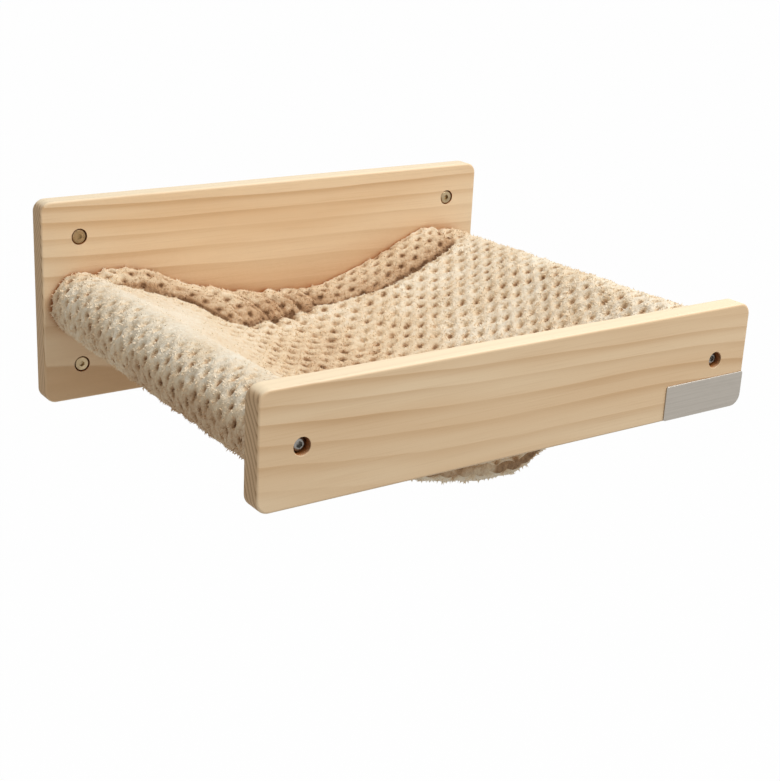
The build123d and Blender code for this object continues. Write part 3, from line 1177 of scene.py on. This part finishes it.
    def hem_painted_shade(self, grid: np.ndarray) -> np.ndarray:
        """Painted shade low on the rolled hem, next to its foot."""
        depth = self.rear_y - grid[..., 1]
        short_of_foot = smooth_line(self.hem_foot, grid[..., 0]) - depth
        near = ease(26, 4, short_of_foot) * ease(-5, 0, short_of_foot)
        return 0.34 * near * ease(-150, -120, grid[..., 0]) * ease(176, 160, grid[..., 0])

    def mesh(self, weave: Weave, round_length: float) -> bpy.types.Object:
        """Joins the outer cloth, the two bores and the end faces into one closed mesh.

        Args:
            weave: The outer cloth.
            round_length: Cloth distance once round.

        Returns:
            The sling.
        """
        grid = weave.grid
        rows, columns = grid.shape[:2]
        index = np.arange(rows * columns).reshape(rows, columns)
        right = np.roll(index, -1, axis=1)
        quads = np.stack([index[:-1], right[:-1], right[1:], index[1:]], axis=-1).reshape(-1, 4)
        faces: list[list[int]] = quads.tolist()
        places = [tuple(p) for p in grid.reshape(-1, 3)]
        bore_rings: dict[tuple[int, int], list[int]] = {}
        turns = self.bore_points
        for side in (-1, 1):
            for row in (0, rows - 1):
                ring = []
                for turn in range(turns):
                    angle = 2 * math.pi * turn / turns
                    ring.append(len(places))
                    places.append((
                        side * self.bar_x + self.bore_radius * math.cos(angle),
                        float(grid[row, 0, 1]),
                        self.bore_radius * math.sin(angle),
                    ))
                bore_rings[side, row] = ring
            back, front = bore_rings[side, 0], bore_rings[side, rows - 1]
            for turn in range(turns):
                after = (turn + 1) % turns
                faces.append([back[turn], back[after], front[after], front[turn]])
        for row in (0, rows - 1):
            loops = [index[row].tolist(), bore_rings[-1, row], bore_rings[1, row]]
            flat = [[Vector((places[i][0], places[i][2], 0)) for i in loop] for loop in loops]
            names = [i for loop in loops for i in loop]
            for corner in geometry.tessellate_polygon(flat):
                faces.append([names[i] for i in corner])
        data = bpy.data.meshes.new(self.name)
        data.from_pydata([(p[0] * MM, p[1] * MM, p[2] * MM) for p in places], [], faces)
        extra = np.zeros(len(places) - rows * columns)
        weave.carry(data, np.append(weave.painted_shade, extra), np.append(weave.taut, extra))
        layer = data.uv_layers.new(name=Cloth.COORDINATES.value)
        uv = np.zeros((len(data.loops), 2), np.float32)
        corner_u = np.concatenate([weave.u, np.full((rows, 1), round_length)], axis=1)
        corner_v = np.concatenate([weave.v, weave.v[:, :1]], axis=1)
        both = np.stack([corner_u, corner_v], axis=-1)
        corners = (both[:-1, :-1], both[:-1, 1:], both[1:, 1:], both[1:, :-1])
        cloth = np.stack(corners, axis=2).reshape(-1, 2)
        uv[: len(cloth)] = cloth
        layer.data.foreach_set("uv", uv.ravel())
        data.validate()
        data.update()
        self.turn_outward(data)
        data.shade_smooth()
        piece = bpy.data.objects.new(self.name, data)
        bpy.context.scene.collection.objects.link(piece)
        return piece

    @staticmethod
    def turn_outward(data: bpy.types.Mesh) -> None:
        """Makes every face of a closed mesh look outward."""
        work = bmesh.new()
        work.from_mesh(data)
        bmesh.ops.recalc_face_normals(work, faces=work.faces)
        work.to_mesh(data)
        work.free()


@dataclass
class Studio:
    """A pale floor far below the wall piece, soft light from above, and a white surround."""

    floor_z: float = -1.25
    floor_half: float = 30.0
    floor_white: float = 0.985
    floor_colour: Colour = (0.82, 0.82, 0.82, 1.0)
    surround: float = 0.50
    key_strength: float = 0.85
    key_direction: tuple[float, float, float] = (0.35, -0.42, 0.84)
    key_distance: float = 1.7
    key_size: float = 1.2

    def build(self) -> None:
        """Makes the floor, the lamps and the surround."""
        self.floor()
        self.key()
        self.world()
        view = bpy.context.scene.view_settings
        view.view_transform = "Standard"

    def floor(self) -> None:
        """A wide pale floor that keeps the hammock's shadow."""
        half = self.floor_half
        data = bpy.data.meshes.new("studio_floor")
        corners = [(-half, -half), (half, -half), (half, half), (-half, half)]
        data.from_pydata([(x, y, self.floor_z) for x, y in corners], [], [[0, 1, 2, 3]])
        piece = bpy.data.objects.new("studio_floor", data)
        bpy.context.scene.collection.objects.link(piece)
        paint = Painter("studio_floor")
        matt = paint.node("ShaderNodeBsdfDiffuse", None, {"Color": self.floor_colour})
        white = paint.node("ShaderNodeEmission", None, {"Color": (1.0, 1.0, 1.0, 1.0), "Strength": 1.0})
        seen = self.seen(paint)
        shown = paint.node("ShaderNodeMixShader", None, {0: seen * self.floor_white, 1: matt, 2: white})
        paint.node_output(shown)
        data.materials.append(paint.material)

    @staticmethod
    def seen(paint: Painter) -> Shade:
        """1 for rays from the camera and for reflections, which see white."""
        rays = paint.node("ShaderNodeLightPath", None, None).socket.node.outputs
        camera, glossy, through = (
            Shade(paint, rays[name]) for name in ("Is Camera Ray", "Is Glossy Ray", "Is Transmission Ray")
        )
        return camera.most(glossy).most(through)

    def key(self) -> None:
        """One broad soft lamp above, a little to the right and in front."""
        data = bpy.data.lights.new("key_lamp", "AREA")
        data.shape = "DISK"
        data.size = self.key_size
        data.energy = self.key_strength * math.pi**2 * self.key_distance**2
        lamp = bpy.data.objects.new("key_lamp", data)
        direction = Vector(self.key_direction).normalized()
        lamp.location = Vector((0, -0.17, 0)) + direction * self.key_distance
        lamp.rotation_mode = "QUATERNION"
        lamp.rotation_quaternion = direction.to_track_quat("Z", "Y")
        bpy.context.scene.collection.objects.link(lamp)

    def world(self) -> None:
        """A soft even surround that shows as white."""
        world = bpy.data.worlds.new("studio_surround")
        bpy.context.scene.world = world
        world.use_nodes = True
        paint = Painter.__new__(Painter)
        paint.tree = world.node_tree
        paint.tree.nodes.clear()
        level = self.surround
        colour = paint.mix(self.seen(paint), (level, level, level * 0.98, 1.0), (1.0, 1.0, 1.0, 1.0))
        back = paint.node("ShaderNodeBackground", None, {"Color": colour, "Strength": 1.0})
        output = paint.tree.nodes.new("ShaderNodeOutputWorld")
        paint.tree.links.new(back.socket, output.inputs["Surface"])


@dataclass
class Viewpoint:
    """The camera, to the left of the hammock and above it."""

    place: tuple[float, float, float] = (-0.57619, -0.99104, 0.31853)
    right: tuple[float, float, float] = (0.83324521, -0.55136323, 0.04124329)
    up: tuple[float, float, float] = (0.14318224, 0.28722887, 0.94710001)
    forward: tuple[float, float, float] = (0.53404238, 0.78326124, -0.3182775)
    lens: float = 66.14
    shift_x: float = 0.0354
    shift_y: float = -0.0522

    def build(self) -> None:
        """Makes the camera."""
        data = bpy.data.cameras.new("camera")
        data.lens = self.lens
        data.sensor_width = 36.0
        data.shift_x, data.shift_y = self.shift_x, self.shift_y
        data.clip_start, data.clip_end = 0.01, 100.0
        camera = bpy.data.objects.new("camera", data)
        back = -Vector(self.forward)
        turn = Matrix((self.right, self.up, back)).transposed().to_4x4()
        camera.matrix_world = Matrix.Translation(self.place) @ turn
        bpy.context.scene.collection.objects.link(camera)
        bpy.context.scene.camera = camera


def main() -> None:
    """Builds and dresses the hammock, then its studio."""
    logging.basicConfig(level=logging.INFO, format="%(message)s")
    Viewpoint().build()
    Timber().dress()
    Hardware().dress()
    PlushSling().build(PlushFinish("cream_plush", PlushLattice()))
    Studio().build()


if __name__ == "__main__":
    main()
